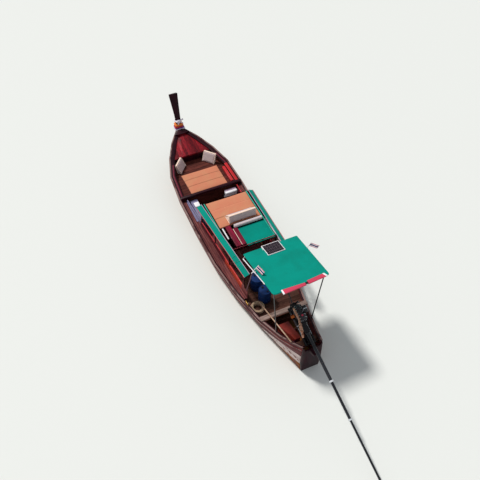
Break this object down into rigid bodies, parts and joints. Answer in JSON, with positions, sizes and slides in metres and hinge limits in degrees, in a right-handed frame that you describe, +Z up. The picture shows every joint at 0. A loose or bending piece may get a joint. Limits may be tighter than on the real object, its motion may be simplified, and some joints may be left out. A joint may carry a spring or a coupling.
{
  "type": "wooden longtail boat",
  "caption": "Slender wooden longtail boat with tall stem, cushioned bow lounge, canopy sun deck, aft roof and a swivelling engine with a long propeller shaft.",
  "frame": {"origin": "on the waterline and the centreline, 5.0 m behind the stem's root", "axes": "+X forward to the bow, +Y to port, +Z up"},
  "size_m": [14.9234, 2.288, 3.2581],
  "materials": {
    "hull_paint": "worn gloss paint",
    "bottom_paint": "matt bottom paint",
    "dark_varnish": "gloss varnish",
    "red_varnish": "gloss varnish",
    "worn_wood": "worn bare wood",
    "pole_wood": "peeled pole, weathered",
    "red_paint": "gloss paint",
    "white_paint": "gloss paint",
    "grey_paint": "matt paint",
    "teal_cloth": "coated canvas",
    "mat_vinyl": "matt vinyl",
    "cushion_cloth": "woven cotton",
    "bolster_cloth": "woven cotton",
    "board_paint": "satin paint",
    "flag_cloth": "thin nylon",
    "solar_glass": "glossy cells under glass",
    "blue_plastic": "scuffed",
    "rope_fibre": "twisted fibre",
    "black_iron": "oily black",
    "engine_steel": "grimy grey",
    "rusty_steel": "rusted",
    "bronze": "worn"
  },
  "bodies": {
    "hull": {"side_planking_port": "hull_paint", "side_planking_starboard": "hull_paint", "bottom_planking": "bottom_paint", "keel": "bottom_paint", "stem_post": "dark_varnish", "transom": "dark_varnish", "gunwale_port": "dark_varnish", "gunwale_starboard": "dark_varnish", "frames": "worn_wood", "sole": "worn_wood", "lounge_deck": "worn_wood", "bow_bulkhead": "dark_varnish", "foredeck": "red_varnish", "bow_mat": "mat_vinyl", "wedge_cushion_port": "cushion_cloth", "wedge_cushion_starboard": "cushion_cloth", "side_seat": "red_paint", "crossbeam": "dark_varnish", "step_box": "white_paint", "side_locker": "grey_paint", "coaming_port": "red_paint", "coaming_starboard": "red_paint", "side_deck_port": "worn_wood", "side_deck_starboard": "worn_wood", "awning_port": "teal_cloth", "awning_starboard": "teal_cloth", "canopy_frame": "dark_varnish", "sun_deck": "dark_varnish", "sun_mat": "mat_vinyl", "backrest": "cushion_cloth", "bolster": "bolster_cloth", "deck_mat": "teal_cloth", "deck_bench": "red_varnish", "aft_deck": "worn_wood", "fuel_drum_forward": "blue_plastic", "fuel_drum_aft": "blue_plastic", "mooring_cleat": "bronze", "rope_coil": "rope_fibre", "rope_lead": "rope_fibre", "aft_thwart": "worn_wood", "stern_locker": "red_paint", "stern_beam": "worn_wood", "swivel_socket": "black_iron", "roof_panel": "teal_cloth", "solar_panel": "solar_glass", "name_board": "board_paint", "roof_frame": "white_paint", "flag_port": "flag_cloth", "flag_starboard": "flag_cloth", "boat_pole": "pole_wood"},
    "swivel": {"swivel_yoke": "black_iron"},
    "engine": {"engine_cradle": "black_iron", "engine_block": "black_iron", "cylinder_head": "engine_steel", "gearbox": "black_iron", "exhaust": "rusty_steel", "tiller": "rusty_steel", "tail_tube": "black_iron"},
    "propeller": {"propeller": "bronze"}
  },
  "joints": [
    {"name": "engine_swivel", "type": "hinge", "parent": "hull", "child": "swivel", "pos_m": [-4.35, 0, 1.05], "axis": [0, 0, 1], "range_deg": [-25, 25]},
    {"name": "engine_tilt", "type": "hinge", "parent": "swivel", "child": "engine", "pos_m": [-4.35, 0, 1.18], "axis": [0, 1, 0], "range_deg": [-5, 12]},
    {"name": "propeller_spin", "type": "hinge", "parent": "engine", "child": "propeller", "pos_m": [-9.20051, 0, -0.03734], "axis": [0.965, 0, 0.2622], "continuous": true}
  ]
}
